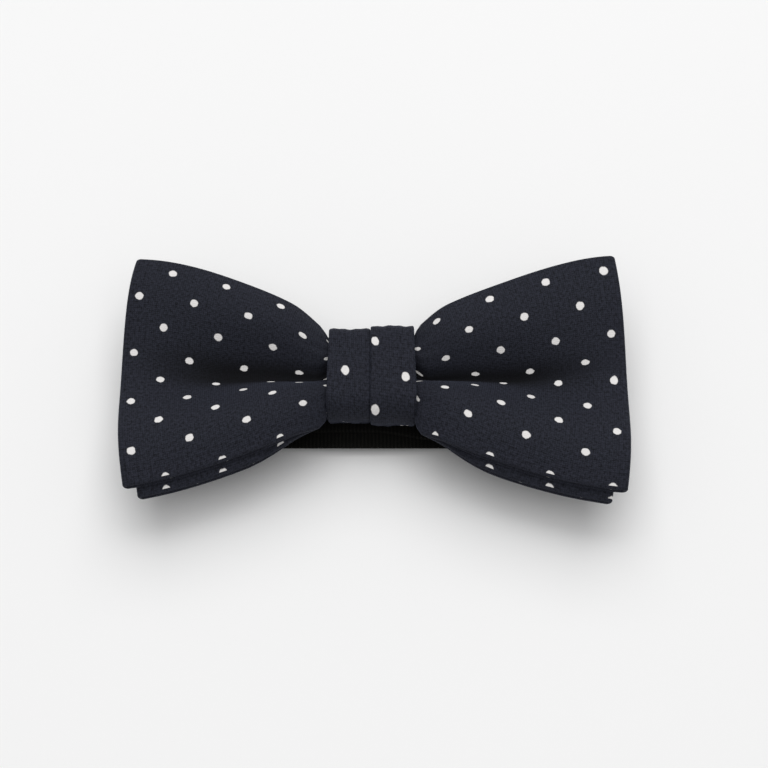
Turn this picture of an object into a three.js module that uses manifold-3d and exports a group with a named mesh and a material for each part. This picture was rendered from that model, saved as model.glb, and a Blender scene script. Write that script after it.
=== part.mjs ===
// A ready-tied bow tie lying face up, with its neck strap folded flat beneath it.
//
// Two fabric bows, one behind the other, are gathered at a narrow waist and wrapped by a knot band.
// The band also holds the strap, which runs between the back bow and the band's lapped ends.
// Millimetres. +X runs along the wings, +Y points up as the tie is worn, and +Z points out of the
// front. The origin is under the middle of the tie, on the surface that it lies on.

import * as THREE from "three";
import { mergeVertices } from "three/addons/utils/BufferGeometryUtils.js";
import Module from "manifold-3d";

const wasm = await Module();
wasm.setup();

// ---- Driving dimensions ----

// Front and back bow.
const frontBowWidth = 120;
const backBowWidth = 114;
const bowHeight = 62;
const fabricWall = 0.3;
const interliningThickness = 0.25;
const interliningClearance = 0.18;
const panelGap = 0.25;
const waistHalfLength = 10;
const wingStations = [14, 19, 26, 33, 39, 45, 51];
const foldRun = 1.5;
const bowEndGap = 1.2;
const wingFlare = 2.1;

// The crease along each wing, and the two lobes that stand up on either side of it.
const creaseSink = 2.1;
const creaseSinkStart = 18;
const creaseSinkEnd = 40;
const creaseClimbStart = 34;
const creaseTipLift = 5.7;
const creaseTipCurve = 1.5;
const waistLobe = 3.9;
const wingLobe = 9;
const lobeFullAt = 22;
const lobeTipDrop = 2.5;
const waistLobeEnd = 1.25;
const wingLobeEnd = 1.42;

// Knot band.
const knotWidth = 21;
const bandThickness = 0.8;
const bandCorner = 2.4;
const lapCorner = 1.6;
const bandLap = 7;
const channelEase = 1.2;
const waistEase = 1.65;
const knotInterliningThickness = 0.35;
const knotInterliningWidth = 18;

// Neck strap.
const strapWidth = 19;
const strapThickness = 0.7;
const strapRightEnd = 52;
const strapLeftFold = -34;
const strapTailEnd = -31;
const channelHalfLength = 16;
const strapOffset = -1.5;
const sewnRunEnd = -38;
const coveringRunEnd = 34;
const strapSlope = 4;
const strapEase = 8;
const adjusterRunStart = 7;
const adjusterRunEnd = 42;
const loopRadius = 1.2;
const loopStart = 3.1;
const loopStartAngle = Math.PI / 3;

// Hook and adjuster.
const platingThickness = 0.7;
const hookThickness = 0.8;
const hookBarX = -46;
const hookBarWidth = 0.9;
const hookTongueWidth = 10;
const hookTongueLength = 4.5;
const hookTongueReturn = 1.5;
const hookBodyWidth = 2;
const plateCorner = 0.4;
const slotCorner = 0.3;
const endBarWidth = 1.6;
const centreBarWidth = 2.4;
const hookCurlRadius = 0.4;
const railWidth = 1.4;
const adjusterLength = 12;
const adjusterX = 21.5;
const adjusterNose = 5;
const adjusterNoseWidth = 15;
const adjusterCorner = 2.4;
const receivingSlotWidth = 2.2;
const receivingSlotLength = 11;

// Threads.
const gatherThread = 0.4;
const sewingThread = 0.34;
const gatherTurns = 4;
const gatherPitch = 0.9;
const seamStitches = 8;
const seamReach = 0.1;
const closingStitches = 12;
const closingReach = 0.5;
const tackStitches = 14;
const tackReach = 0.9;
const tackMargin = 2;

// Clearances.
const layerGap = 0.2;
const threadGap = 0.15;
const edgeGap = 0.4;

// The longest step along a folded strip, which sets how finely it is divided.
const longestStep = 10.5;
const strapLongestStep = 30;
const panelDivisions = 8;

// ---- Sizes of the knot, round the strap and the waist that it holds ----

const knotHeight = strapWidth + 2 * (channelEase + bandThickness);
const waistHeight = knotHeight - 2 * (bandThickness + layerGap + knotInterliningThickness + waistEase);

// ---- Heights of the layers, from the surface upwards ----

const panelThickness = 2 * fabricWall + 2 * interliningClearance + interliningThickness;
const panelPitch = panelThickness + panelGap;
const flatRun = strapThickness / 2;
const adjusterRun = platingThickness + layerGap + strapThickness / 2;
const endBarBase = adjusterRun + strapThickness / 2 + layerGap;
const adjusterTop = endBarBase + platingThickness;
const lowerRun = adjusterTop + layerGap + strapThickness / 2;
const upperRun = lowerRun + strapThickness + layerGap;
const outerLap = upperRun + strapThickness / 2 + layerGap + bandThickness / 2;
const innerLap = outerLap + bandThickness + layerGap;
const channelRun = innerLap + bandThickness / 2 + layerGap + strapThickness / 2;
const coveringRun = upperRun + strapThickness + layerGap;
const waistBase = channelRun + strapThickness / 2 + gatherThread + 2 * threadGap;
const waistTop = waistBase + 4 * panelThickness + 3 * panelGap;
const waistCrest = waistTop + waistLobe;
const knotLiningRun = waistCrest + gatherThread + 2 * threadGap + knotInterliningThickness / 2;
const bandFront = knotLiningRun + knotInterliningThickness / 2 + layerGap + bandThickness / 2;

// ---- Materials ----

function material(color, roughness, metalness) {
  return new THREE.MeshStandardMaterial({ color, roughness, metalness });
}

const dottedCotton = material("#1b1f2e", 0.85, 0);
const canvas = material("#d9d3c4", 0.95, 0);
const navyThread = material("#1d2233", 0.7, 0);
const ribbedWebbing = material("#0f0f10", 0.9, 0);
const blackThread = material("#151516", 0.7, 0);
const blackEnamel = material("#0c0c0d", 0.35, 0.4);

// ---- Solids ----

function toManifold(geometry) {
  const bare = geometry.clone();
  bare.deleteAttribute("normal");
  bare.deleteAttribute("uv");
  const merged = mergeVertices(bare, 1e-4);
  const mesh = new wasm.Mesh({
    numProp: 3,
    vertProperties: new Float32Array(merged.attributes.position.array),
    triVerts: new Uint32Array(merged.index.array),
  });
  return new wasm.Manifold(mesh);
}

function toGeometry(solid) {
  const mesh = solid.getMesh();
  const geometry = new THREE.BufferGeometry();
  geometry.setAttribute("position", new THREE.BufferAttribute(mesh.vertProperties, 3));
  geometry.setIndex(new THREE.BufferAttribute(mesh.triVerts, 1));
  geometry.computeVertexNormals();
  return geometry;
}

// The points of a path, with no step longer than `longest`, and none twice where two curves join.
function evenPoints(path, divisions, longest) {
  const corners = path.getPoints(divisions).filter((point, i, all) => i === 0 || point.distanceTo(all[i - 1]) > 1e-6);
  const points = [corners[0]];
  for (let i = 1; i < corners.length; i += 1) {
    const from = corners[i - 1];
    const to = corners[i];
    const steps = Math.max(1, Math.ceil(from.distanceTo(to) / longest - 1e-6));
    for (let k = 1; k <= steps; k += 1) {
      points.push(from.clone().lerp(to, k / steps));
    }
  }
  return points;
}

// Each point with the direction of the path and the offset that keeps a strip's thickness there.
function stations(points) {
  return points.map((point, i) => {
    const before = points[Math.max(i - 1, 0)];
    const after = points[Math.min(i + 1, points.length - 1)];
    const inward = (i === 0 ? after.clone().sub(point) : point.clone().sub(before)).normalize();
    const outward = (i === points.length - 1 ? inward.clone() : after.clone().sub(point)).normalize();
    const tangent = inward.clone().add(outward).normalize();
    const stretch = 1 / Math.max(tangent.dot(outward), 0.5);
    return { point, tangent, normal: new THREE.Vector2(-tangent.y, tangent.x).multiplyScalar(stretch) };
  });
}

// Splits each four-sided facet from its inner to its outer corner, on both faces of a strip, so that
// the faces stay parallel where a facet is twisted, and strips that lie on each other keep clear.
function splitOutwards(geometry) {
  const { position } = geometry.attributes;
  const { index } = geometry;
  const spread = (p, q) => (Math.abs(position.getX(p)) - Math.abs(position.getX(q)))
    * (Math.abs(position.getY(p)) - Math.abs(position.getY(q)));
  for (let i = 0; i < index.count; i += 6) {
    const [a, b, d, c] = [0, 1, 2, 4].map((k) => index.getX(i + k));
    if (spread(a, c) > spread(b, d)) {
      [a, b, c, a, c, d].forEach((vertex, k) => index.setX(i + k, vertex));
    }
  }
}

// A strip folded along a path: a flat box cut into stations, each moved to its place on the path.
// place(along, height, across, index) turns the folded place into a point of the tie.
function foldedStrip({ line, width, thickness, across = 1, edgeInset = 0, endShift = 0, place }) {
  const last = line.length - 1;
  const geometry = new THREE.BoxGeometry(1, width, thickness, last, across, 1);
  const position = geometry.attributes.position;
  const limit = width / 2 - edgeInset;
  for (let i = 0; i < position.count; i += 1) {
    const index = Math.round((position.getX(i) + 0.5) * last);
    const { point, tangent, normal } = line[index];
    const offset = position.getZ(i);
    const shift = index === 0 ? -endShift : index === last ? endShift : 0;
    const along = point.x + normal.x * offset + tangent.x * shift;
    const height = point.y + normal.y * offset + tangent.y * shift;
    const side = THREE.MathUtils.clamp(position.getY(i), -limit, limit);
    position.setXYZ(i, ...place(along, height, side, index));
  }
  splitOutwards(geometry);
  geometry.computeVertexNormals();
  return geometry;
}

// A thread: a six-sided tube along a smooth curve through the points.
function thread(points, diameter, steps) {
  const extrudePath = new THREE.CatmullRomCurve3(points);
  const section = new THREE.Shape();
  section.absarc(0, 0, diameter / 2, 0, Math.PI * 2);
  return new THREE.ExtrudeGeometry(section, { steps, curveSegments: 3, extrudePath, bevelEnabled: false });
}

// The points of a row of stitches: steps along one axis, `reach` to each side along another.
function zigzag(start, alongAxis, step, acrossAxis, reach, count) {
  const points = [];
  for (let i = 0; i <= count; i += 1) {
    const point = start.clone();
    point[alongAxis] += i * step;
    point[acrossAxis] += i % 2 === 0 ? reach : -reach;
    points.push(point);
  }
  return points;
}

function roundedRectangle(shape, left, right, halfWidth, corner) {
  shape.moveTo(left + corner, -halfWidth);
  shape.lineTo(right - corner, -halfWidth);
  shape.absarc(right - corner, -halfWidth + corner, corner, -Math.PI / 2, 0, false);
  shape.lineTo(right, halfWidth - corner);
  shape.absarc(right - corner, halfWidth - corner, corner, 0, Math.PI / 2, false);
  shape.lineTo(left + corner, halfWidth);
  shape.absarc(left + corner, halfWidth - corner, corner, Math.PI / 2, Math.PI, false);
  shape.lineTo(left, -halfWidth + corner);
  shape.absarc(left + corner, -halfWidth + corner, corner, Math.PI, Math.PI * 1.5, false);
  return shape;
}

function plate(shape, base, thickness) {
  const geometry = new THREE.ExtrudeGeometry(shape, { depth: thickness, curveSegments: 4, bevelEnabled: false });
  return toManifold(geometry.translate(0, 0, base));
}

function block(lengthX, widthY, heightZ, x, y, z) {
  return toManifold(new THREE.BoxGeometry(lengthX, widthY, heightZ).translate(x, y, z));
}

const tie = new THREE.Group();

function add(name, geometry, finish) {
  const mesh = new THREE.Mesh(geometry, finish);
  mesh.name = name;
  tie.add(mesh);
}

// ---- The two bows ----

// Half the height of a bow at a distance from its middle: the waist, then the flaring wings.
// Both bows share it, so that the back one lies snugly behind the front one.
function halfHeight(x) {
  const reach = Math.max(0, (Math.abs(x) - waistHalfLength) / (frontBowWidth / 2 - waistHalfLength));
  const flare = 1 - (1 - Math.min(reach, 1)) ** wingFlare;
  return THREE.MathUtils.lerp(waistHeight, bowHeight, flare) / 2;
}

// How far the crease lies above its height at the waist: it sinks beside the knot, then climbs to the tip.
function creaseLift(out) {
  const sink = creaseSink * THREE.MathUtils.smoothstep(out, creaseSinkStart, creaseSinkEnd);
  const climb = THREE.MathUtils.clamp((out - creaseClimbStart) / (frontBowWidth / 2 - creaseClimbStart), 0, 1);
  return creaseTipLift * climb ** creaseTipCurve - sink;
}

// How far the cloth stands above the crease: zero on it, most along the two lobes, less at the edges.
function lobe(out, share) {
  const open = THREE.MathUtils.smoothstep(out, waistHalfLength, lobeFullAt);
  const drop = lobeTipDrop * THREE.MathUtils.smoothstep(out, lobeFullAt, frontBowWidth / 2);
  const crest = THREE.MathUtils.lerp(waistLobe, wingLobe, open) - drop - creaseLift(out);
  const end = THREE.MathUtils.lerp(waistLobeEnd, wingLobeEnd, open);
  return crest * Math.sin((Math.PI * Math.abs(share)) / end) ** 2;
}

// The same, flat between the strip's columns, so that a panel's inner and outer faces stay parallel.
function facetedLobe(out, share) {
  const column = (Math.abs(share) * panelDivisions) / 2;
  const inner = Math.floor(column);
  const step = 2 / panelDivisions;
  return THREE.MathUtils.lerp(lobe(out, inner * step), lobe(out, (inner + 1) * step), column - inner);
}

// Where the panels turn level, just before the folds at the tips of the back bow.
const levelFrom = (backBowWidth - panelThickness - panelPitch) / 2 - foldRun;

// A bow is a flat tube of fabric, folded into a loop: its ends meet behind the waist.
function bowLine(width, level) {
  const fold = panelPitch / 2;
  const tip = (width - panelThickness) / 2 - fold;
  const rear = waistBase + panelThickness / 2 + level * panelPitch;
  const front = rear + panelPitch;
  const wing = [waistHalfLength, ...wingStations, levelFrom, tip];
  const back = [...wing].reverse();
  const lift = (x) => creaseLift(Math.min(x, levelFrom));
  const foldHeight = rear + fold + lift(tip);
  const path = new THREE.Path();
  path.moveTo(bowEndGap / 2, rear);
  wing.forEach((x) => path.lineTo(x, rear + lift(x)));
  path.absarc(tip, foldHeight, fold, -Math.PI / 2, Math.PI / 2, false);
  back.forEach((x) => path.lineTo(x, front + lift(x)));
  wing.forEach((x) => path.lineTo(-x, front + lift(x)));
  path.absarc(-tip, foldHeight, fold, Math.PI / 2, Math.PI * 1.5, false);
  back.forEach((x) => path.lineTo(-x, rear + lift(x)));
  path.lineTo(-bowEndGap / 2, rear);
  return stations(evenPoints(path, 2, longestStep));
}

function addBow(name, width, level) {
  const line = bowLine(width, level);
  const place = (along, height, side, index) => {
    const { point } = line[index];
    const share = (2 * side) / bowHeight;
    const out = Math.min(Math.abs(point.x), levelFrom);
    return [along, share * halfHeight(point.x), height + facetedLobe(out, share)];
  };
  const strip = { line, width: bowHeight, across: panelDivisions, place };
  const tube = foldedStrip({ ...strip, thickness: panelThickness });
  const cavity = foldedStrip({
    ...strip,
    thickness: panelThickness - 2 * fabricWall,
    edgeInset: fabricWall,
    endShift: bowEndGap / 4,
  });
  add(`${name}_shell`, toGeometry(toManifold(tube).subtract(toManifold(cavity))), dottedCotton);
  const interlining = foldedStrip({
    ...strip,
    thickness: interliningThickness,
    edgeInset: fabricWall + interliningClearance,
    endShift: -interliningClearance,
  });
  add(`${name}_interlining`, interlining, canvas);

  const seamHeight = waistBase + panelThickness / 2 + level * panelPitch;
  const seamStep = (waistHeight - 2 * edgeGap) / seamStitches;
  const seamStart = new THREE.Vector3(0, edgeGap - waistHeight / 2, seamHeight);
  const seam = zigzag(seamStart, "y", seamStep, "x", seamReach, seamStitches);
  seam.forEach((point) => {
    point.z += facetedLobe(0, (2 * point.y) / waistHeight);
  });
  add(`${name}_seam_thread`, thread(seam, sewingThread, seamStitches * 2), navyThread);
}

addBow("back_bow", backBowWidth, 0);
addBow("front_bow", frontBowWidth, 2);

// ---- Waist and knot ----

// The gathering thread is wound round the waist of both bows, close to its corners.
function gatheringThread() {
  const corner = threadGap + gatherThread / 2;
  const half = waistHeight / 2;
  const turn = new THREE.Path();
  turn.moveTo(0, waistBase - corner);
  turn.lineTo(half, waistBase - corner);
  turn.absarc(half, waistBase, corner, -Math.PI / 2, 0, false);
  turn.absarc(half, waistCrest, corner, 0, Math.PI / 2, false);
  turn.absarc(-half, waistCrest, corner, Math.PI / 2, Math.PI, false);
  turn.absarc(-half, waistBase, corner, Math.PI, Math.PI * 1.5, false);
  turn.lineTo(0, waistBase - corner);
  const round = turn.getPoints(1).slice(0, -1);
  const points = [];
  for (let i = 0; i < gatherTurns; i += 1) {
    points.push(...round);
  }
  const shift = (index) => (index / round.length - gatherTurns / 2) * gatherPitch;
  const place = (along, height, side, index) => [shift(index) - side, along, height];
  return foldedStrip({ line: stations(points), width: gatherThread, thickness: gatherThread, place });
}

add("waist_gathering_thread", gatheringThread(), navyThread);

// The band starts behind the waist, goes down and round the front, and laps over its start.
const bandHalf = (knotHeight - bandThickness) / 2;
const knotPlace = (along, height, side) => [-side, along, height];

function knotBand() {
  const path = new THREE.Path();
  path.moveTo(bandLap / 2, innerLap);
  path.lineTo(lapCorner - bandHalf, innerLap);
  path.absarc(lapCorner - bandHalf, innerLap + lapCorner, lapCorner, Math.PI * 1.5, Math.PI, true);
  path.absarc(bandCorner - bandHalf, bandFront - bandCorner, bandCorner, Math.PI, Math.PI / 2, true);
  path.absarc(bandHalf - bandCorner, bandFront - bandCorner, bandCorner, Math.PI / 2, 0, true);
  path.absarc(bandHalf - lapCorner, outerLap + lapCorner, lapCorner, 0, -Math.PI / 2, true);
  path.lineTo(-bandLap / 2, outerLap);
  const line = stations(evenPoints(path, 3, knotHeight / 4));
  return foldedStrip({ line, width: knotWidth, thickness: bandThickness, place: knotPlace });
}

add("knot_band", knotBand(), dottedCotton);

// The knot's interlining covers the front and both sides of the waist, inside the band.
function knotInterlining() {
  const inset = bandThickness / 2 + layerGap + knotInterliningThickness / 2;
  const half = bandHalf - inset;
  const corner = bandCorner - inset;
  const path = new THREE.Path();
  path.moveTo(-half, waistBase);
  path.lineTo(-half, knotLiningRun - corner);
  path.absarc(corner - half, knotLiningRun - corner, corner, Math.PI, Math.PI / 2, true);
  path.absarc(half - corner, knotLiningRun - corner, corner, Math.PI / 2, 0, true);
  path.lineTo(half, waistBase);
  const line = stations(evenPoints(path, 3, knotHeight / 4));
  const thickness = knotInterliningThickness;
  return foldedStrip({ line, width: knotInterliningWidth, thickness, place: knotPlace });
}

add("knot_interlining", knotInterlining(), canvas);

// Slip stitches along the outer lap's edge close the band behind the waist.
function closingThread() {
  const run = knotWidth - 2 * edgeGap;
  const y = -bandLap / 2 - layerGap - sewingThread / 2 - closingReach;
  const points = zigzag(new THREE.Vector3(-run / 2, y, outerLap), "x", run / closingStitches, "y",
    closingReach, closingStitches);
  return thread(points, sewingThread, closingStitches * 3);
}

add("knot_closing_thread", closingThread(), navyThread);

// ---- Neck strap ----

// The folded strap lies off the middle of the tie, except where it passes through the knot.
function strapShift(height) {
  const free = THREE.MathUtils.clamp((height - lowerRun) / (channelRun - lowerRun), 0, 1);
  return strapOffset * (1 - free);
}

// One ribbon from its tail to its hook end: out to the right under everything, back and forth
// in two runs, then left through the knot and down to the loop that holds the hook.
function strapPath() {
  const firstFold = (lowerRun - flatRun) / 2;
  const fold = (strapThickness + layerGap) / 2;
  const sewnRun = flatRun + strapThickness + layerGap;
  const right = strapRightEnd - strapThickness / 2;
  const path = new THREE.Path();
  path.moveTo(strapTailEnd, flatRun);
  path.lineTo(adjusterRunStart - strapSlope, flatRun);
  path.lineTo(adjusterRunStart, adjusterRun);
  path.lineTo(adjusterRunEnd, adjusterRun);
  path.lineTo(adjusterRunEnd + strapSlope, flatRun);
  path.lineTo(right - firstFold, flatRun);
  path.absarc(right - firstFold, flatRun + firstFold, firstFold, -Math.PI / 2, Math.PI / 2, false);
  path.lineTo(strapLeftFold, lowerRun);
  path.absarc(strapLeftFold, lowerRun + fold, fold, -Math.PI / 2, -Math.PI * 1.5, true);
  path.lineTo(right - fold, upperRun);
  path.absarc(right - fold, upperRun + fold, fold, -Math.PI / 2, Math.PI / 2, false);
  path.lineTo(coveringRunEnd, coveringRun);
  path.bezierCurveTo(coveringRunEnd - strapEase, coveringRun, channelHalfLength + strapEase, channelRun,
    channelHalfLength, channelRun);
  path.lineTo(-channelHalfLength, channelRun);
  path.bezierCurveTo(-channelHalfLength - strapEase, channelRun, strapLeftFold + strapEase, coveringRun,
    strapLeftFold, coveringRun);
  path.lineTo(strapLeftFold - 2 * fold, coveringRun);
  path.lineTo(sewnRunEnd, sewnRun);
  path.lineTo(hookBarX + loopStart, sewnRun);
  path.absarc(hookBarX, flatRun + loopRadius, loopRadius, loopStartAngle, Math.PI * 1.5, false);
  path.lineTo(sewnRunEnd, flatRun);
  return path;
}

function neckStrap() {
  const line = stations(evenPoints(strapPath(), 3, strapLongestStep));
  const place = (along, height, side, index) => [along, side + strapShift(line[index].point.y), height];
  return foldedStrip({ line, width: strapWidth, thickness: strapThickness, place });
}

add("neck_strap", neckStrap(), ribbedWebbing);

// A bar tack is a dense zigzag of thread across the strap.
function barTack(x, strapTop) {
  const width = strapWidth - 2 * tackMargin;
  const start = new THREE.Vector3(x, strapOffset - width / 2, strapTop + threadGap + sewingThread / 2);
  const points = zigzag(start, "y", width / tackStitches, "x", tackReach, tackStitches);
  return thread(points, sewingThread, tackStitches * 3);
}

add("hook_end_bar_tack", barTack((sewnRunEnd + hookBarX) / 2, 2 * strapThickness + layerGap), blackThread);
add("tail_end_bar_tack", barTack(strapTailEnd + tackMargin, strapThickness), blackThread);

// ---- Hook ----

// A stamped plate: a bar for the strap's loop, a slot, and a tongue that curls back over itself.
function strapHook() {
  const halfWidth = strapWidth / 2 + edgeGap + railWidth;
  const right = hookBarX + hookBarWidth / 2;
  const slotRight = hookBarX - hookBarWidth / 2;
  const slotLeft = hookBarX - loopRadius - strapThickness / 2 - edgeGap;
  const left = slotLeft - hookBodyWidth;
  const outline = roundedRectangle(new THREE.Shape(), left, right, halfWidth, plateCorner);
  const slot = roundedRectangle(new THREE.Path(), slotLeft, slotRight, halfWidth - railWidth, slotCorner);
  outline.holes.push(slot);
  const height = flatRun + loopRadius;
  const body = plate(outline, height - hookThickness / 2, hookThickness);

  const curl = hookCurlRadius + hookThickness / 2;
  const tongue = new THREE.Path();
  tongue.moveTo(left + hookBodyWidth / 2, height);
  tongue.lineTo(left - hookTongueLength, height);
  tongue.absarc(left - hookTongueLength, height + curl, curl, -Math.PI / 2, -Math.PI * 1.5, true);
  tongue.lineTo(left - hookTongueReturn, height + 2 * curl);
  const strip = foldedStrip({
    line: stations(tongue.getPoints(4)),
    width: hookTongueWidth,
    thickness: hookThickness,
    place: (along, rise, side) => [along, side, rise],
  });
  return toGeometry(body.add(toManifold(strip)).translate([0, strapOffset, 0]));
}

add("strap_hook", strapHook(), blackEnamel);

// ---- Adjuster ----

// A slide with two raised end bars and a low centre bar, between which the strap is threaded,
// and a nose with the slot that receives the hook.
function strapAdjuster() {
  const halfWidth = strapWidth / 2 + edgeGap + railWidth;
  const left = adjusterX - adjusterLength / 2;
  const right = adjusterX + adjusterLength / 2;
  const outline = roundedRectangle(new THREE.Shape(), left, right, halfWidth, adjusterCorner);
  const window = roundedRectangle(new THREE.Path(), left + endBarWidth, right - endBarWidth,
    halfWidth - railWidth, slotCorner);
  outline.holes.push(window);
  const frame = plate(outline, 0, adjusterTop);
  const passage = block(adjusterLength * 2, strapWidth + 2 * edgeGap, endBarBase * 2, adjusterX, 0, 0);
  const barLength = 2 * halfWidth - railWidth;
  const centreBar = block(centreBarWidth, barLength, platingThickness, adjusterX, 0, platingThickness / 2);

  const noseLeft = left - adjusterNose;
  const noseOutline = roundedRectangle(new THREE.Shape(), noseLeft, left + endBarWidth / 2,
    adjusterNoseWidth / 2, slotCorner);
  const slotLeft = noseLeft + endBarWidth;
  noseOutline.holes.push(roundedRectangle(new THREE.Path(), slotLeft, slotLeft + receivingSlotWidth,
    receivingSlotLength / 2, slotCorner));
  const nose = plate(noseOutline, endBarBase, platingThickness);
  const solid = frame.subtract(passage).add(centreBar).add(nose);
  return toGeometry(solid.translate([0, strapOffset, 0]));
}

add("strap_adjuster", strapAdjuster(), blackEnamel);

export default tie;
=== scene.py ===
# %% [markdown]
# # A ready-tied bow tie
# Two looped bows of dotted cotton lie one behind the other. They are gathered at a narrow waist,
# wrapped by a knot band, and held on a neck strap of ribbed webbing that is folded flat underneath.
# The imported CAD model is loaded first. It gives every body, every place and every size, so each
# piece made here goes straight to where it belongs.

import math

import bmesh
import bpy
import numpy as np
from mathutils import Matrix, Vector


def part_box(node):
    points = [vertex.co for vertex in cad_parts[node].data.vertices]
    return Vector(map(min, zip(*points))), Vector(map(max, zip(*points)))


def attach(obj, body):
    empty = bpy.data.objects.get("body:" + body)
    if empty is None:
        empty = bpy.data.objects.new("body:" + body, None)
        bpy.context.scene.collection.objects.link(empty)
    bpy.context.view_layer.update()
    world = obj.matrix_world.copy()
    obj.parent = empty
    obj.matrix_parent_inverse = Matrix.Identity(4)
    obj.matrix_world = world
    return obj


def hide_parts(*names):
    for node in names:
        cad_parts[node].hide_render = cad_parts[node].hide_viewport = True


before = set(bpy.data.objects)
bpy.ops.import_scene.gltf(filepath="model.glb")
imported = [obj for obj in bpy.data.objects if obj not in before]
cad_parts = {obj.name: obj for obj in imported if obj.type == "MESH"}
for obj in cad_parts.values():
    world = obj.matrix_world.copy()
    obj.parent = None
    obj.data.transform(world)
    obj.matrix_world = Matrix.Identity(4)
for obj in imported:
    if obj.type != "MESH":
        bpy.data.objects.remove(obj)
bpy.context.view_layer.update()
MM = 0.001


def box_mm(node):
    """The lowest and highest corner of a CAD node, in millimetres."""
    low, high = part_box(node)
    return np.array(low) / MM, np.array(high) / MM


# %% [markdown]
# ## Camera
# A tie that lies on a table is seen from above and a little from its lower edge. A long lens keeps
# both wings the same size. The camera stands straight in front of the tie and is only tipped.

# %% Camera
CAMERA_ELEVATION = math.radians(64.0)
CAMERA_DISTANCE = 0.453
CAMERA_TARGET = Vector((0.0030, -0.0034, 0.016))
LENS = 88.8

camera = bpy.data.objects.new("camera", bpy.data.cameras.new("camera"))
camera.data.lens = LENS
camera.data.sensor_width = 36
camera.data.clip_start = 0.01
away = Vector((0, -math.cos(CAMERA_ELEVATION), math.sin(CAMERA_ELEVATION)))
camera.location = CAMERA_TARGET + away * CAMERA_DISTANCE
camera.rotation_euler = (math.pi / 2 - CAMERA_ELEVATION, 0, 0)
bpy.context.scene.collection.objects.link(camera)
bpy.context.scene.camera = camera
print("camera at", [round(v, 3) for v in camera.location])

# %% [markdown]
# ## Materials
# Every finish starts from what the real one is. Two small helpers serve them all: one turns an
# sRGB hex value into the linear colour that shaders use, the other adds a node with its settings
# and links in one line.

# %% Material helpers
def linear(hex_colour):
    """An sRGB hex value as a linear colour."""
    channels = [int(hex_colour[i:i + 2], 16) / 255 for i in (1, 3, 5)]
    return tuple(c / 12.92 if c <= 0.04045 else ((c + 0.055) / 1.055) ** 2.4 for c in channels) + (1.0,)


def node(tree, kind, inputs=None, **settings):
    """Adds a node, sets its properties, and sets or links its inputs."""
    made = tree.nodes.new("ShaderNode" + kind)
    for key, value in settings.items():
        setattr(made, key, value)
    for key, value in (inputs or {}).items():
        if isinstance(value, bpy.types.NodeSocket):
            tree.links.new(value, made.inputs[key])
        else:
            made.inputs[key].default_value = value
    return made


def new_material(name, **shader):
    """A material with its Principled shader, whose sockets are set by name."""
    made = bpy.data.materials.new(name)
    made.use_nodes = True
    principled = made.node_tree.nodes["Principled BSDF"]
    for key, value in shader.items():
        principled.inputs[key.replace("_", " ")].default_value = value
    return made, made.node_tree, principled


def connect(tree, principled, **links):
    """Links sockets to the Principled shader's inputs, by name."""
    for key, socket in links.items():
        tree.links.new(socket, principled.inputs[key.replace("_", " ")])


# %% [markdown]
# ### Dotted cotton
# A fine navy cotton with small off-white dots, set like the fives on a die. The cloth is matt, with
# a faint bloom from its loose fibres, which is what sheen is for. The pattern follows the cloth's own
# UV map, laid out in millimetres on the flat cloth, so that a dot squeezes and turns as the cloth
# does. The dots are two plain grids, one moved by half a step, and each point asks how far the
# nearest dot is. Real threads are about 0.2 mm apart, too fine to show, so the weave is drawn at 0.5.
# The pressed crease swallows light along the inner half of each wing, so a painted shade darkens the cloth's
# colour there.

# %% Dotted cotton
DOT_ALONG = 13.34
DOT_ACROSS = 7.361
DOT_RADIUS = 0.95
DOT_EDGE = 0.09
THREAD_STEP = 0.5
CREASE_ACROSS = -25.0
KNOT_ALONG = 17.1
# A wave texture repeats 20 times for a scale of two pi.
WAVE_TURNS = 2 * math.pi / 20


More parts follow.
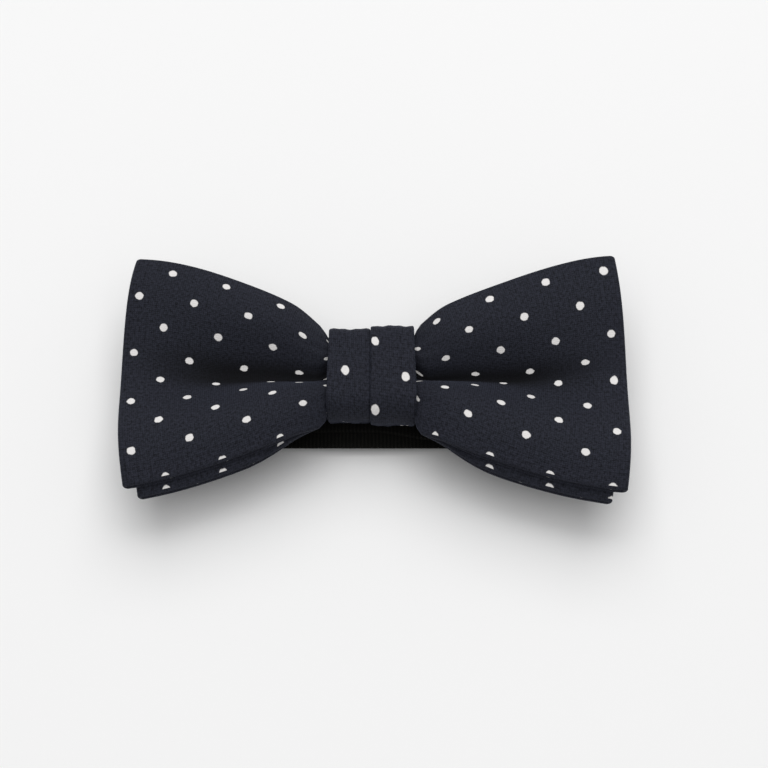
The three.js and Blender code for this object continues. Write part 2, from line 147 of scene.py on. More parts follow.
def dotted_cotton():
    """Navy cotton with its dots, weave, slubs and the painted shade of its crease."""
    made, tree, shader = new_material(
        "woven_cotton_navy_dotted",
        Roughness=0.8, Sheen_Weight=0.14, Sheen_Roughness=0.35, Sheen_Tint=linear("#a8b2d0"),
        Specular_IOR_Level=0.12,
    )
    cloth = node(tree, "UVMap", uv_map="cloth").outputs[0]
    fray = node(tree, "TexNoise", {"Vector": cloth, "Scale": 1.1, "Detail": 3.0})
    centred = node(tree, "VectorMath", {0: fray.outputs["Color"], 1: (0.5, 0.5, 0.5)}, operation="SUBTRACT")
    shake = node(tree, "VectorMath", {0: centred.outputs[0], "Scale": 0.55}, operation="SCALE")
    flat = node(tree, "VectorMath", {0: cloth, 1: shake.outputs[0]}, operation="ADD")
    reach = []
    for shift in ((0, 0, 0), (DOT_ALONG / 2, DOT_ACROSS, 0)):
        moved = node(tree, "VectorMath", {0: flat.outputs[0], 1: shift}, operation="ADD")
        planar = node(tree, "VectorMath", {0: moved.outputs[0], 1: (1, 1, 0)}, operation="MULTIPLY")
        half = (DOT_ALONG / 2, DOT_ACROSS, 1)
        cell = node(tree, "VectorMath", {0: planar.outputs[0], 1: half, 2: tuple(-h for h in half)},
                    operation="WRAP")
        reach.append(node(tree, "VectorMath", {0: cell.outputs[0]}, operation="LENGTH").outputs["Value"])
    nearest = node(tree, "Math", {0: reach[0], 1: reach[1]}, operation="MINIMUM").outputs[0]
    dot = node(tree, "MapRange", {
        "Value": nearest, "From Min": DOT_RADIUS + DOT_EDGE, "From Max": DOT_RADIUS - DOT_EDGE,
    }).outputs[0]
    threads = {"Vector": cloth, "Scale": WAVE_TURNS / THREAD_STEP, "Distortion": 0.6, "Detail": 1.0}
    warp = node(tree, "TexWave", threads, bands_direction="X")
    weft = node(tree, "TexWave", threads, bands_direction="Y")
    crossing = {0: warp.outputs["Fac"], 1: weft.outputs["Fac"]}
    weave = node(tree, "Math", crossing, operation="MULTIPLY").outputs[0]
    uneven = {"Vector": cloth, "Scale": 1.5, "Detail": 4.0, "Roughness": 0.8}
    slub = node(tree, "TexNoise", uneven).outputs["Fac"]
    fleck = node(tree, "MapRange", {"Value": slub, "From Min": 0.35, "From Max": 0.65}).outputs[0]
    mix = node(tree, "Math", {0: weave, 1: 0.45, 2: fleck}, operation="MULTIPLY_ADD").outputs[0]
    ground = node(tree, "MixRGB", {0: mix, 1: linear("#0a0b0f"), 2: linear("#2b2d37")}).outputs[0]
    # Painted shade: near the knot and along the crease, the ground colour is mixed toward near-black to stand
    # in for the crease's shadow.
    place = node(tree, "SeparateXYZ", {0: cloth}).outputs
    out = node(tree, "Math", {0: place[0], 1: KNOT_ALONG}, operation="ADD").outputs[0]
    out = node(tree, "Math", {0: out}, operation="ABSOLUTE").outputs[0]
    up = node(tree, "Math", {0: place[1], 1: CREASE_ACROSS}, operation="SUBTRACT").outputs[0]
    up = node(tree, "Math", {0: up}, operation="ABSOLUTE").outputs[0]
    near_knot = node(tree, "MapRange", {"Value": out, "From Min": 60.0, "From Max": 32.0},
                     interpolation_type="SMOOTHSTEP").outputs[0]
    in_crease = node(tree, "MapRange", {"Value": up, "From Min": 9.0, "From Max": 1.5, "To Max": 0.85},
                     interpolation_type="SMOOTHSTEP").outputs[0]
    painted_crease_shade = node(tree, "Math", {0: near_knot, 1: in_crease}, operation="MULTIPLY").outputs[0]
    ground = node(tree, "MixRGB", {0: painted_crease_shade, 1: ground, 2: linear("#050506")}).outputs[0]
    ink = node(tree, "MixRGB", {0: slub, 1: linear("#cfcccb"), 2: linear("#f3f1ef")}).outputs[0]
    colour = node(tree, "MixRGB", {0: dot, 1: ground, 2: ink}).outputs[0]
    relief = node(tree, "Math", {0: weave, 1: slub}, operation="ADD").outputs[0]
    bump = node(tree, "Bump", {"Height": relief, "Strength": 0.35, "Distance": 0.00012}).outputs[0]
    connect(tree, shader, Base_Color=colour, Normal=bump)
    return made


cotton = dotted_cotton()
print("made", cotton.name)

# %% [markdown]
# ### Webbing, canvas, thread and enamel
# The neck strap is ribbed webbing: its weft stands up in ribs across the band, about 0.9 mm apart.
# The interlining is unbleached canvas. Sewing thread is twisted, so it has a fine diagonal relief.
# The hook and the adjuster are stamped steel under black enamel, smooth and satin, with a slight
# orange-peel relief.

# %% Webbing, canvas, thread and enamel
RIB_STEP = 0.9


def ribbed_webbing():
    """Black webbing: ribs across the band, and finer yarns along it."""
    made, tree, shader = new_material(
        "woven_webbing_black", Roughness=0.88, Sheen_Weight=0.05, Sheen_Roughness=0.5,
        Sheen_Tint=linear("#8a8780"), Specular_IOR_Level=0.12,
    )
    band = node(tree, "UVMap", uv_map="cloth").outputs[0]
    ribs = node(tree, "TexWave", {
        "Vector": band, "Scale": WAVE_TURNS / RIB_STEP, "Distortion": 0.4, "Detail": 1.0,
    }, bands_direction="X").outputs["Fac"]
    yarn = node(tree, "TexWave", {
        "Vector": band, "Scale": WAVE_TURNS / THREAD_STEP, "Distortion": 0.8, "Detail": 1.0,
    }, bands_direction="Y").outputs["Fac"]
    wear = node(tree, "TexNoise", {"Vector": band, "Scale": 0.7, "Detail": 4.0}).outputs["Fac"]
    height = node(tree, "Math", {0: yarn, 1: 0.35, 2: ribs}, operation="MULTIPLY_ADD").outputs[0]
    shade = node(tree, "Math", {0: ribs, 1: wear}, operation="MULTIPLY").outputs[0]
    colour = node(tree, "MixRGB", {0: shade, 1: linear("#080807"), 2: linear("#1c1b18")}).outputs[0]
    bump = node(tree, "Bump", {"Height": height, "Strength": 0.7, "Distance": 0.0002}).outputs[0]
    connect(tree, shader, Base_Color=colour, Normal=bump)
    return made


def fibre(name, dark, light, step_mm, rough, strength):
    """Canvas or thread: crossed yarns, read from Object coordinates."""
    made, tree, shader = new_material(name, Roughness=rough, Sheen_Weight=0.15, Specular_IOR_Level=0.3)
    place = node(tree, "TexCoord").outputs["Object"]
    turned = node(tree, "Mapping", {"Vector": place, "Rotation": (0.3, 0.2, math.radians(35))}).outputs[0]
    yarn = {"Vector": turned, "Scale": WAVE_TURNS / (step_mm * MM)}
    first = node(tree, "TexWave", yarn, bands_direction="X").outputs["Fac"]
    second = node(tree, "TexWave", yarn, bands_direction="Y").outputs["Fac"]
    yarns = node(tree, "Math", {0: first, 1: second}, operation="MAXIMUM").outputs[0]
    colour = node(tree, "MixRGB", {0: yarns, 1: linear(dark), 2: linear(light)}).outputs[0]
    bump = node(tree, "Bump", {"Height": yarns, "Strength": strength, "Distance": 0.0001}).outputs[0]
    connect(tree, shader, Base_Color=colour, Normal=bump)
    return made


def black_enamel():
    """Satin black enamel on stamped steel, a little worn and uneven."""
    made, tree, shader = new_material(
        "enamelled_steel_black", Base_Color=linear("#0d0d0f"), Roughness=0.32, Coat_Weight=0.5,
        Coat_Roughness=0.12,
    )
    place = node(tree, "TexCoord").outputs["Object"]
    peel = node(tree, "TexNoise", {"Vector": place, "Scale": 900.0, "Detail": 3.0}).outputs["Fac"]
    wear = node(tree, "TexNoise", {"Vector": place, "Scale": 160.0, "Detail": 5.0}).outputs["Fac"]
    rough = node(tree, "MapRange", {"Value": wear, "To Min": 0.24, "To Max": 0.46}).outputs[0]
    bump = node(tree, "Bump", {"Height": peel, "Strength": 0.15, "Distance": 0.0001}).outputs[0]
    connect(tree, shader, Roughness=rough, Normal=bump)
    return made


webbing = ribbed_webbing()
canvas = fibre("woven_canvas_unbleached", "#a89f8a", "#d8d0bd", 0.7, 0.93, 0.5)
navy_thread = fibre("spun_thread_navy", "#141722", "#2a2f44", 0.3, 0.7, 0.6)
black_thread = fibre("spun_thread_black", "#0b0b0b", "#232323", 0.3, 0.7, 0.6)
enamel = black_enamel()
print("made", webbing.name, canvas.name, navy_thread.name, black_thread.name, enamel.name)

# %% [markdown]
# ## Floor and light
# The tie lies on a plain pale table under a soft studio light. One broad panel stands beyond its
# upper edge and draws the crease, one hangs overhead, and an even white sky fills the rest.

# %% Floor and light
def table_top():
    """The plain pale board the tie lies on."""
    bpy.ops.object.select_all(action="DESELECT")
    bpy.ops.mesh.primitive_plane_add(size=6, location=(0, 0, 0))
    floor = bpy.context.object
    floor.name = "floor"
    made, tree, shader = new_material("painted_board_white", Roughness=0.9, Specular_IOR_Level=0.1)
    place = node(tree, "TexCoord").outputs["Object"]
    cloud = node(tree, "TexNoise", {"Vector": place, "Scale": 3.0, "Detail": 2.0}).outputs["Fac"]
    colour = node(tree, "MixRGB", {0: cloud, 1: linear("#f1f1f1"), 2: linear("#f4f4f4")}).outputs[0]
    connect(tree, shader, Base_Color=colour)
    floor.data.materials.append(made)
    return floor


def panel_light(name, place, size, watts):
    """A square soft light, aimed at the tie."""
    lamp = bpy.data.lights.new(name, "AREA")
    lamp.shape = "SQUARE"
    lamp.size = size
    lamp.energy = watts
    holder = bpy.data.objects.new(name, lamp)
    aim = Vector((0, 0, 0)) - Vector(place)
    holder.location = place
    holder.rotation_euler = aim.to_track_quat("-Z", "Y").to_euler()
    bpy.context.scene.collection.objects.link(holder)
    return holder


table_top()
panel_light("window_panel", (0.05, 0.8, 1.3), 1.4, 12.5)
panel_light("ceiling_panel", (0.0, -0.1, 1.5), 1.6, 9.5)
sky = bpy.data.worlds.new("even_sky")
sky.use_nodes = True
sky.node_tree.nodes["Background"].inputs["Color"].default_value = (1, 1, 1, 1)
sky.node_tree.nodes["Background"].inputs["Strength"].default_value = 0.36
bpy.context.scene.world = sky
bpy.context.scene.view_settings.view_transform = "Standard"
print("floor, panel and sky made")

# %% [markdown]
# ## The shape of a wing
# Each wing is flat cloth squeezed from its full height at the tip to the narrow waist. It answers
# with one crease along its middle and a puffed lobe on either side. The four panels of the two bows
# share this one shape and lie on each other like stacked leaves, so it is written once, as a
# function: how far out along the wing, and where across the strip, give a point in millimetres.

# %% Heights that come from the frame
lining_low, lining_high = box_mm("knot_interlining")
front_low, front_high = box_mm("front_bow_shell")
back_low, back_high = box_mm("back_bow_shell")
knot_low, knot_high = box_mm("knot_band")
PANEL_STEP = (front_low[2] - back_low[2]) / 2
PANEL_THICKNESS = PANEL_STEP - 0.25
WAIST_BASE = lining_low[2]
HALF_STRIP = 31.5
WAIST_END = 10.0
WING_END = front_high[0] - 0.4
LEVEL_FROM = 54.2
CREASE_SINK = 2.1
CREASE_CLIMB = 5.7
LOBE_AT_WAIST = 3.9
LOBE_OPENING = 3.6
KNOT_HALF = 8.4
PULL_TURN = 0.094
levels = (PANEL_STEP, WAIST_BASE, WING_END)
print("panel step, waist base and wing end (mm):", [round(float(v), 2) for v in levels])

# %% [markdown]
# The crease sinks a little behind the knot's edge and then climbs toward the tip, where the cloth is
# open and nearly flat. Toward each long edge the cloth rises into a lobe and drops again. Each wing
# is also pulled in by the knot, so the lines across the strip bow outward at their middle.

# %% The wing surface
def eased(x, start, end):
    """0 before start, 1 after end, and a smooth rise between them."""
    t = np.clip((x - start) / (end - start), 0, 1)
    return t * t * (3 - 2 * t)


def crease_lift(x):
    """How far the crease lies above its height at the waist: it sinks, then climbs to the tip."""
    return CREASE_CLIMB * np.clip((x - 34) / 26, 0, 1) ** 1.5 - CREASE_SINK * eased(x, 18, 40)


def gathers(out, across):
    """Small folds that leave the knot and die out along the wing, and the cloth's slow unevenness."""
    fold = 0.2 * np.sin(across * 21 + 1.3 * np.sin(across * 7 + 1)) + 0.12 * np.sin(across * 37 + 2)
    slack = 0.25 * np.sin(out / 7.3 + across * 3.1) * np.sin(across * 5.3 + 0.7)
    return fold * np.exp(-np.abs(out - 11) / 7) + slack * eased(out, 14, 30)


# Tied by hand, the two wings differ a little. For the upper and the lower half: its reach from the
# crease at the tip and at the knot, how fast it widens between them, and how its cloth crowds toward
# the edge at the tip and at the knot. Then how far the edge is drawn in halfway, and at the tip.
LEFT_WING = {
    "upper": (28.6, 9.6, 1.80, 1.04, 1.28),
    "lower": (31.0, 12.6, 1.30, 1.01, 2.09),
    "draw": (3.1, 2.5),
}
RIGHT_WING = {
    "upper": (29.7, 10.5, 1.45, 1.36, 1.68),
    "lower": (31.8, 14.4, 1.36, 0.88, 2.44),
    "draw": (4.3, 1.9),
}


def half_across(half, t, share, narrow):
    """How far across from the crease a share of a half lies, t being the way from knot to tip."""
    tip, knot, widening, crowd_tip, crowd_knot = half
    reach = knot + (tip - knot) * (1 - (1 - t) ** widening)
    crowd = crowd_tip + (crowd_knot - crowd_tip) * (1 - t) ** 1.917
    reach = reach * narrow + KNOT_HALF * (1 - narrow)
    return reach * share ** (crowd * narrow + (1 - narrow))


def wing_point(along, share):
    """A point of the cloth: along from the middle of the tie, share from -1 to 1 across the strip."""
    wing = RIGHT_WING if along > 0 else LEFT_WING
    out = min(abs(along), 61.8)
    height_out = min(out, LEVEL_FROM)
    opening = eased(height_out, WAIST_END, 22)
    t = float(np.clip((out - WAIST_END) / 50, 0, 1))
    across = np.abs(share)
    narrow = eased(out, 9.5, 13.5)
    y_up = half_across(wing["upper"], t, across, narrow)
    y_down = half_across(wing["lower"], t, across, narrow)
    y = (2.36 * t - 1.95) * narrow * (1 - across) + np.where(share > 0, y_up, -y_down)
    crease = crease_lift(height_out)
    crest = LOBE_AT_WAIST + LOBE_OPENING * opening - crease
    end = 1.25 + 0.17 * opening + 0.2 * t * (share > 0)
    z = WAIST_BASE + crease + crest * np.sin(np.pi * across / end) ** 2
    inward, tip_inward = wing["draw"]
    pull = inward * (across ** 2 - PULL_TURN) * math.sin(math.pi * t ** 0.653)
    x = out - pull - tip_inward * across ** 2 * eased(out, 30, 60)
    return np.stack([np.sign(along) * x, y, z + gathers(out, share)], axis=-1)


heights = [round(float(wing_point(out, np.array([0.6]))[0, 2]), 1) for out in (12, 30, 60)]
print("lobe heights at 12, 30 and 60 mm out:", heights)

# %% [markdown]
# ## Cloth as a tube along a path
# A bow is a flat tube of cloth, as a tailor sews it, with canvas slid inside. The tube runs once
# round its loop: out along the rear to the tip, over the fold, along the whole front, over the other
# fold, and back to the middle behind the waist. So one grid makes it: stations along the loop, and
# a ring of points round the tube at each. A second ring inside gives the cloth its own thickness.
# The same grid with one ring, closed at its ends, makes the canvas. A pressed and stiffened bow
# holds its shape, so the cloth is modelled straight in mesh code and not left to fall.

# %% Grid helpers
def mesh_object(name, points, faces, uvs, material):
    """A smooth mesh object at the origin, from points in millimetres, with a UV map named cloth."""
    mesh = bpy.data.meshes.new(name)
    mesh.from_pydata([tuple(p) for p in np.asarray(points) * MM], [], faces)
    layer = mesh.uv_layers.new(name="cloth")
    layer.data.foreach_set("uv", np.asarray(uvs, dtype=float).ravel())
    mesh.validate()
    work = bmesh.new()
    work.from_mesh(mesh)
    bmesh.ops.recalc_face_normals(work, faces=work.faces)
    work.to_mesh(mesh)
    work.free()
    mesh.shade_smooth()
    mesh.materials.append(material)
    made = bpy.data.objects.new(name, mesh)
    bpy.context.scene.collection.objects.link(made)
    return made


def ring_grid(rings, along, around):
    """Points, faces and face-corner UVs of closed rings joined one to the next."""
    stations, size = rings.shape[:2]
    faces, uvs = [], []
    for i in range(stations - 1):
        for j in range(size):
            k = (j + 1) % size
            faces.append((i * size + j, i * size + k, (i + 1) * size + k, (i + 1) * size + j))
            low, high = around[j], around[j + 1]
            uvs += [(along[i], low), (along[i], high), (along[i + 1], high), (along[i + 1], low)]
    return rings.reshape(-1, 3), faces, uvs


def walled_tube(name, outer, inner, along, around, material):
    """A tube with a wall: outer and inner rings, joined at both open ends."""
    points_a, faces, uvs = ring_grid(outer, along, around)
    points_b, inner_faces, inner_uvs = ring_grid(inner, along, around)
    shift = len(points_a)
    faces += [tuple(shift + v for v in reversed(f)) for f in inner_faces]
    uvs += [uv for i in range(0, len(inner_uvs), 4) for uv in reversed(inner_uvs[i:i + 4])]
    size = outer.shape[1]
    for first in (0, (outer.shape[0] - 1) * size):
        for j in range(size):
            k = (j + 1) % size
            faces.append((first + j, first + k, shift + first + k, shift + first + j))
            uvs += [(0, around[j]), (0, around[j + 1]), (1, around[j + 1]), (1, around[j])]
    return mesh_object(name, np.concatenate([points_a, points_b]), faces, uvs, material)


def solid_strip(name, rings, along, around, material):
    """A closed strip: one set of rings, with a face across each end."""
    points, faces, uvs = ring_grid(rings, along, around)
    size = rings.shape[1]
    last = (rings.shape[0] - 1) * size
    for end in (tuple(range(size)), tuple(last + j for j in reversed(range(size)))):
        faces.append(end)
        uvs += [(0, 0)] * size
    return mesh_object(name, points, faces, uvs, material)


# %% [markdown]
# The panels of a stack keep one height step, measured straight up, so they nest even where the
# crease is steep. Near the knot the lower panels are tucked in under the front one.

# %% The loop of a bow
UNDER_TUCK = 0.75
RIGHT_LONGER = 1.2
FIRST_DOT = 17.07
KNOT_SLACK = 1.01


def half_loop(tip, level):
    """One side: along, level of the panel, reach past the tip, and the way the cloth faces."""
    out = np.concatenate([np.linspace(0.6, 14, 9)[:-1], np.linspace(14, tip, 36)])
    stations = [(s, level, 0.0, -math.pi / 2) for s in out]
    for angle in np.linspace(-math.pi / 2, math.pi / 2, 9)[1:-1]:
        stations.append((tip, level + 0.5 + 0.5 * math.sin(angle), PANEL_STEP / 2 * math.cos(angle), angle))
    return stations + [(s, level + 1, 0.0, math.pi / 2) for s in out[::-1]]


def loop_stations(tip, level):
    """The whole loop, right side then left. The right wing of a hand-tied bow is a little longer."""
    left = [(-s, h, reach, angle) for s, h, reach, angle in reversed(half_loop(tip, level))]
    return half_loop(tip + RIGHT_LONGER, level) + left


def loop_rings(stations, thickness, inset, columns, sag):
    """Rings round a flat tube of that thickness, whose edges stop short by inset."""
    radius = thickness / 2
    face = np.linspace(-1, 1, columns) * (1 - (inset + radius) / HALF_STRIP)
    edge = np.linspace(0, math.pi, 7)[1:-1]
    rings = []
    for s, level, reach, angle in stations:
        side = 1 if s > 0 else -1
        direction = np.array([side * math.cos(angle), 0, math.sin(angle)])
        base = wing_point(s, face) + [side * reach, 0, level * PANEL_STEP + PANEL_THICKNESS / 2]
        lower = np.clip(-face, 0, 1) ** 2
        tuck = UNDER_TUCK * (3 - level) * (1 - eased(abs(s), 12, 32)) * eased(abs(s), 9, 13)
        base[:, 1] += lower * (tuck - sag * eased(abs(s), 12, 34))
        outer = base + direction * radius
        inner = base - direction * radius
        high = [base[-1] + direction * radius * math.cos(a) + [0, radius * math.sin(a), 0] for a in edge]
        low = [base[0] - direction * radius * math.cos(a) - [0, radius * math.sin(a), 0] for a in edge]
        rings.append(np.concatenate([outer, high, inner[::-1], low]))
    return np.array(rings)


def around_tube(columns, thickness):
    """How far round the tube each point lies, in millimetres of cloth, and the closing point."""
    half = HALF_STRIP - thickness / 2
    face = np.linspace(-half, half, columns)
    edge = np.linspace(0, 1, 7)[1:-1] * thickness * math.pi / 2
    turn = thickness * math.pi / 2
    far = 2 * half + turn
    return np.concatenate([face, half + edge, far + face, far + half + edge, [far + half + turn]])


def along_loop(stations, tip):
    """The place of each station on the flat cloth. The knot takes up a little cloth on each side."""
    places = []
    for s, _, _, angle in stations:
        side = 1 if s > 0 else -1
        end = tip + (RIGHT_LONGER if s > 0 else 0)
        flat = abs(s)
        if angle < math.pi / 2:
            flat = end + PANEL_STEP * (math.pi / 4 - angle / 2) + (end - abs(s))
        places.append(side * flat - FIRST_DOT - side * KNOT_SLACK * min(flat / WAIST_END, 1))
    return places


DOT_ROW = 27.66
CLOTH_WALL = 0.3
CLOTH_COLUMNS = 61
CANVAS_THICKNESS = 0.24
CANVAS_COLUMNS = 31


def bow_cloth(name, tip, level, sag):
    """The walled tube of dotted cotton for one bow."""
    stations = loop_stations(tip, level)
    outer = loop_rings(stations, PANEL_THICKNESS, 0, CLOTH_COLUMNS, sag)
    inner = loop_rings(stations, PANEL_THICKNESS - 2 * CLOTH_WALL, CLOTH_WALL, CLOTH_COLUMNS, sag)
    around = around_tube(CLOTH_COLUMNS, PANEL_THICKNESS) - DOT_ROW
    made = walled_tube(name, outer, inner, along_loop(stations, tip), around, cotton)
    print(name, "has", len(made.data.polygons), "faces")
    return made


def bow_canvas(name, tip, level, sag):
    """The strip of canvas inside one bow's tube."""
    stations = loop_stations(tip, level)[1:-1]
    rings = loop_rings(stations, CANVAS_THICKNESS, CLOTH_WALL + 0.2, CANVAS_COLUMNS, sag)
    around = around_tube(CANVAS_COLUMNS, CANVAS_THICKNESS)
    made = solid_strip(name, rings, along_loop(stations, tip), around, canvas)
    print(name, "has", len(made.data.polygons), "faces")
    return made


# %% [markdown]
# ## The two bows
# The front bow is the wider one. The back bow shows as a narrow sliver below its lower edge, because
# it hangs a little lower. Each cloth tube was cut as one rectangle: twice the strip's height, by the
# length of the loop.

# %% The two bows
FRONT_TIP = WING_END - PANEL_STEP / 2
BACK_TIP = FRONT_TIP - (front_high[0] - back_high[0])
BACK_SAG = 2.1


front_cloth = bow_cloth("front_bow_cloth", FRONT_TIP, 2, 0)
back_cloth = bow_cloth("back_bow_cloth", BACK_TIP, 0, BACK_SAG)
front_canvas = bow_canvas("front_bow_canvas", FRONT_TIP, 2, 0)
back_canvas = bow_canvas("back_bow_canvas", BACK_TIP, 0, BACK_SAG)
for cloth, lining, tip, shell, inside in (
    (front_cloth, front_canvas, FRONT_TIP, "front_bow_shell", "front_bow_interlining"),
    (back_cloth, back_canvas, BACK_TIP, "back_bow_shell", "back_bow_interlining"),
):
    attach(cloth, "bow")
    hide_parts(shell)
    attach(lining, "bow")
    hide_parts(inside)

# %% [markdown]
# ## The knot band
# The band is a strip of the same cloth, pleated once down its middle so that its right half lies over
# its left, wrapped round the waist and lapped behind. Its cross-section is one closed outline with
# the step of the pleat in it, and the outline is carried round the waist. The band is narrower
# behind than in front, since it draws in round the strap, and its front is softly crowned.

# %% The knot band
BAND_THICKNESS = 0.8
PLEAT_X = -0.25
PLEAT_RISE = 0.75
PLEAT_ROUND = 0.5
EDGE_FLAT = 1.2
LINING_THICKNESS = 0.4
BAND_DOT_ALONG = 16.6
BAND_DOT_ACROSS = 7.1
BAND_DOT_START = (10.4, 0.9)
BAND_DOT_SKEW = -0.11


def band_outline(half_width):
    """Points round the band's section: across the tie, and out from the band's middle."""
    radius = BAND_THICKNESS / 2
    points = []
    for a in np.linspace(-math.pi / 2, -3 * math.pi / 2, 7):
        points.append((-half_width + radius + radius * math.cos(a), radius * math.sin(a)))
    for x in np.linspace(-half_width + EDGE_FLAT, PLEAT_X - 0.35, 14):
        points.append((x, radius))
    points.append((PLEAT_X - 0.12, radius - 0.12))
    points.append((PLEAT_X, radius - 0.3))
    points.append((PLEAT_X + 0.06, radius + 0.1))
    lift = radius + PLEAT_RISE
    for a in np.linspace(math.pi, math.pi / 2, 5):
        x = PLEAT_X + PLEAT_ROUND + PLEAT_ROUND * math.cos(a)
        points.append((x, lift - PLEAT_ROUND + PLEAT_ROUND * math.sin(a)))
    for x in np.linspace(PLEAT_X + 1, half_width - EDGE_FLAT, 14):
        points.append((x, lift))
    middle = PLEAT_RISE / 2
    for a in np.linspace(math.pi / 2, -math.pi / 2, 9):
        x = half_width - radius + radius * math.cos(a)
        points.append((x, middle + (radius + middle) * math.sin(a)))
    for x in np.linspace(half_width - EDGE_FLAT, -half_width + EDGE_FLAT, 24):
        points.append((x, -radius))
    return np.array(points)


def rounded(corners, radii, steps):
    """A path through corners, each rounded by its own radius."""
    path = [np.array(corners[0], float)]
    for before, corner, after, radius in zip(corners, corners[1:], corners[2:], radii):
        corner = np.array(corner, float)
        toward = [np.array(other) - corner for other in (before, after)]
        start, end = (corner + radius * way / np.linalg.norm(way) for way in toward)
        for t in np.linspace(0, 1, steps):
            path.append((1 - t) ** 2 * start + 2 * t * (1 - t) * corner + t ** 2 * end)
    path.append(np.array(corners[-1], float))
    return path


def resampled(path, step):
    """The same path in even steps, and the distance along it."""
    path = np.array(path)
    run = np.concatenate([[0], np.cumsum(np.linalg.norm(np.diff(path, axis=0), axis=1))])
    even = np.linspace(0, run[-1], int(run[-1] / step) + 1)
    return np.stack([np.interp(even, run, path[:, k]) for k in range(path.shape[1])], axis=1), even


def directions(path):
    """The unit direction of a path at each of its points."""
    tangent = np.gradient(path, axis=0)
    return tangent / np.linalg.norm(tangent, axis=1)[:, None]


def knot_band():
    """The band: its pleated section, carried round the waist from lap to lap."""
    half = BAND_THICKNESS / 2
    top = knot_high[2] - half
    outer_lap = knot_low[2] + half
    inner_lap = outer_lap + BAND_THICKNESS + 0.2
    upper = knot_high[1] - half
    lower = knot_low[1] + half
    lower_back = lower + 1.9
    corners = [
        (3.5, inner_lap), (lower_back + 0.25, inner_lap), (lower_back, inner_lap + 2),
        (lower - 0.25, top - 6.5), (lower + 1.6, top - 0.7), (0, top + 0.2),
        (upper - 0.5, top - 0.3), (upper, top - 5.5), (upper - 0.4, outer_lap + 2),
        (upper - 0.7, outer_lap), (-3.5, outer_lap),
    ]
    radii = [1.2, 0.9, 2.7, 3.2, 4, 3.4, 2.0, 1.2, 1.2]
    path, run = resampled(rounded(corners, radii, 7), 0.75)
    outline = band_outline(knot_high[0])
    front_middle = float(run[np.argmin(np.abs(path[:, 0]) + 10 * (path[:, 1] < top - 1))])
    rings = []
    for (y, z), (ty, tz), s in zip(path, directions(path), run):
        at_back = 1 - eased(z, outer_lap + 1.2, outer_lap + 2.2)
        ripple = 0.12 * np.sin(outline[:, 0] * 0.9 + s * 0.35)
        ripple += 0.08 * np.sin(outline[:, 0] * 2.3 - s * 0.6)
        rise = outline[:, 1].copy()
        rise -= np.where(rise > half, (rise - half) * at_back, 0)
        rise += ripple * (1 - at_back)
        pinch = 1 - 0.02 * math.sin(s / 5.5)
        rings.append(np.stack([outline[:, 0] * pinch, y - tz * rise, z + ty * rise], axis=1))
    dot_along, dot_across = BAND_DOT_START
    along = (front_middle - run - dot_along) * DOT_ALONG / BAND_DOT_ALONG
    across = np.append(outline[:, 0], outline[0, 0])
    across = (across - dot_across) * DOT_ACROSS / BAND_DOT_ACROSS
    made = solid_strip("knot_cloth", np.array(rings), along, across, cotton)
    for corner in made.data.uv_layers["cloth"].data:
        corner.uv[0] += BAND_DOT_SKEW * corner.uv[1]
    print("knot band:", round(float(run[-1]), 1), "mm round the waist")
    return made, path, float(run[-1])


def knot_canvas(path):
    """The stiffening inside the band: a strip that follows the band from one side to the other."""
    keep = path[(path[:, 1] > lining_low[2] + 0.5)]
    face = -BAND_THICKNESS / 2 - 0.1
    back = face - LINING_THICKNESS
    half = lining_high[0]
    section = [(-half, face), (half, face), (half, back), (-half, back)]
    rings = []
    for (y, z), (ty, tz) in zip(keep, directions(keep)):
        rings.append([(x, y - tz * rise, z + ty * rise) for x, rise in section])
    run = np.concatenate([[0], np.cumsum(np.linalg.norm(np.diff(keep, axis=0), axis=1))])
    around = np.cumsum([0, 2 * half, LINING_THICKNESS, 2 * half, LINING_THICKNESS])
    made = solid_strip("knot_canvas", np.array(rings), run, around, canvas)
    print("knot canvas:", round(float(run[-1]), 1), "mm long")
    return made, float(run[-1])


knot_cloth, knot_path, knot_run = knot_band()
knot_lining, lining_run = knot_canvas(knot_path)
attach(knot_lining, "bow")
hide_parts("knot_interlining")
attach(knot_cloth, "bow")
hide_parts("knot_band")

# %% [markdown]
# ## The neck strap
# The strap is one band of webbing. It goes out flat under everything, through the adjuster, back and
# forth in two folded runs, up through the knot, and down to the loop that holds the hook. Its route
# is a path in the side view, and the band is carried along it. The folded runs are never stacked
# quite straight, so each run has settled a little to its own side. Flat webbing keeps its shape
# when it is folded, so it is modelled straight in mesh code.

# %% The neck strap
STRAP_THICKNESS = 0.7
strap_low, strap_high = box_mm("neck_strap")
adjuster_low, adjuster_high = box_mm("strap_adjuster")
STRAP_Y = (adjuster_low[1] + adjuster_high[1]) / 2
STRAP_HALF = 9.5
STRAP_COLUMNS = 25
LOOP_RADIUS = 1.2
FLAT, THROUGH, LOWER, UPPER, COVER, CHANNEL = 0.35, 1.25, 3.05, 3.95, 4.85, 6.85


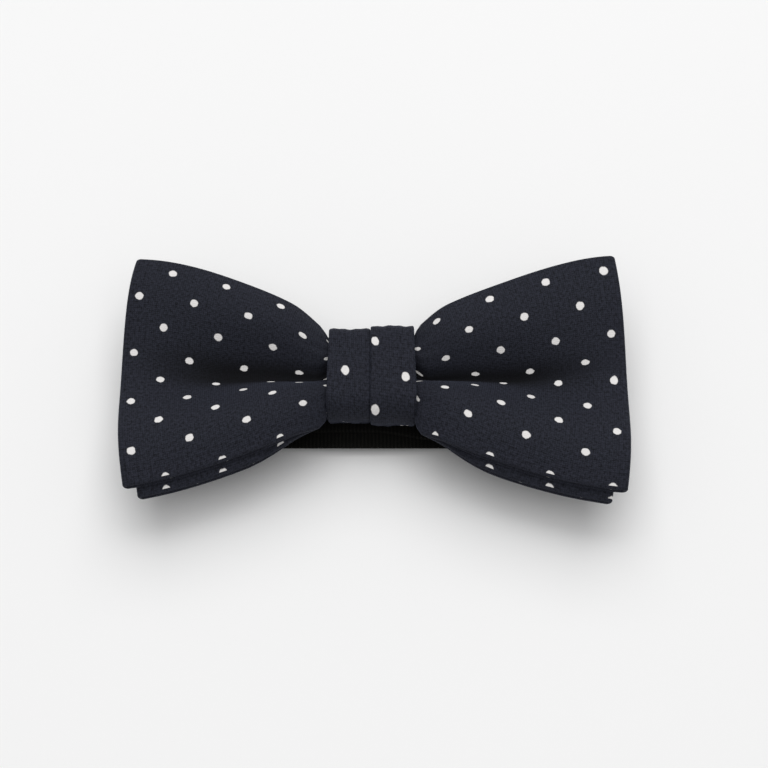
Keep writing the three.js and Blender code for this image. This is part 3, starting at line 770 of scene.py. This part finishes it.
def strap_route():
    """The strap's path seen from the near side, with the level of each run."""
    right = strap_high[0]
    left = -34.0
    bar = -46.0
    route = [
        (-31, FLAT), (3, FLAT), (7, THROUGH), (42, THROUGH), (46, FLAT), (right - 0.5, FLAT),
        (right, (FLAT + LOWER) / 2), (right - 0.5, LOWER), (left, LOWER), (left - 0.65, 3.5),
        (left, UPPER), (right - 0.6, UPPER), (right - 0.05, 4.4), (right - 0.6, COVER), (34, COVER),
        (26, 5.35), (16, CHANNEL), (-16, CHANNEL), (-26, 5.35), (-34, COVER), (-35.5, 4.4),
        (-38, THROUGH), (-43.2, THROUGH),
    ]
    radii = [1, 1, 1, 1, 0.3, 1.2, 1.2, 0.2, 0.4, 0.4, 0.2, 0.4, 0.4, 3, 3, 4, 4, 3, 1, 0.6, 0.8]
    path = rounded(route, radii, 5)[:-1]
    for a in np.linspace(math.radians(60), math.radians(270), 16):
        rise = FLAT + LOOP_RADIUS + LOOP_RADIUS * math.sin(a)
        path.append(np.array([bar + LOOP_RADIUS * math.cos(a), rise]))
    path.append(np.array([-38.0, FLAT]))
    return resampled(path, 0.8)


def strap_middle(x, z):
    """Where the band's middle line lies across the tie: each run has settled a little to one side."""
    climbed = np.clip((z - LOWER) / (CHANNEL - LOWER), 0, 1)
    flat_run = -2.1 + 1.7 * eased(x, -2, 6)
    upper_run = -0.2 - 2.2 * eased(x, 0, 16)
    settled = np.interp(z, [THROUGH, LOWER, UPPER, COVER], [flat_run, -3.5, upper_run, 0])
    return STRAP_Y * (1 - climbed) + 1.0 * climbed + settled * eased(x, -36, -26)


def neck_strap():
    """The webbing carried along the strap's route."""
    path, run = strap_route()
    radius = STRAP_THICKNESS / 2
    face = np.linspace(-STRAP_HALF + radius, STRAP_HALF - radius, STRAP_COLUMNS)
    edge = np.linspace(0, math.pi, 5)[1:-1]
    flat = np.full(STRAP_COLUMNS, radius)
    ys = np.concatenate([face, face[-1] + radius * np.sin(edge), face[::-1], face[0] - radius * np.sin(edge)])
    offs = np.concatenate([flat, radius * np.cos(edge), -flat, -radius * np.cos(edge)])
    rings = []
    for (x, z), (tx, tz) in zip(path, directions(path)):
        rings.append(np.stack([x - tz * offs, ys + strap_middle(x, z), z + tx * offs], axis=1))
    around = np.concatenate([[0], np.cumsum(np.hypot(np.diff(ys), np.diff(offs)))])
    around = np.append(around, around[-1] + 0.3)
    made = solid_strip("strap_webbing", np.array(rings), run, around, webbing)
    print("strap: webbing", round(float(run[-1])), "mm long")
    return made, float(run[-1])


strap, strap_run = neck_strap()
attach(strap, "strap")
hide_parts("neck_strap")

# %% [markdown]
# ## Hook, adjuster and threads
# These pieces have their right shape in the CAD model already, so they stay, and only take their
# real finishes.

# %% Finishes of the pieces that stay
for finish, names in (
    (enamel, ("strap_hook", "strap_adjuster")),
    (black_thread, ("hook_end_bar_tack", "tail_end_bar_tack")),
    (navy_thread, ("front_bow_seam_thread", "back_bow_seam_thread", "waist_gathering_thread",
                   "knot_closing_thread")),
):
    for name in names:
        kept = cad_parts[name]
        kept.data.materials.clear()
        kept.data.materials.append(finish)
    print(finish.name, "on", ", ".join(names))
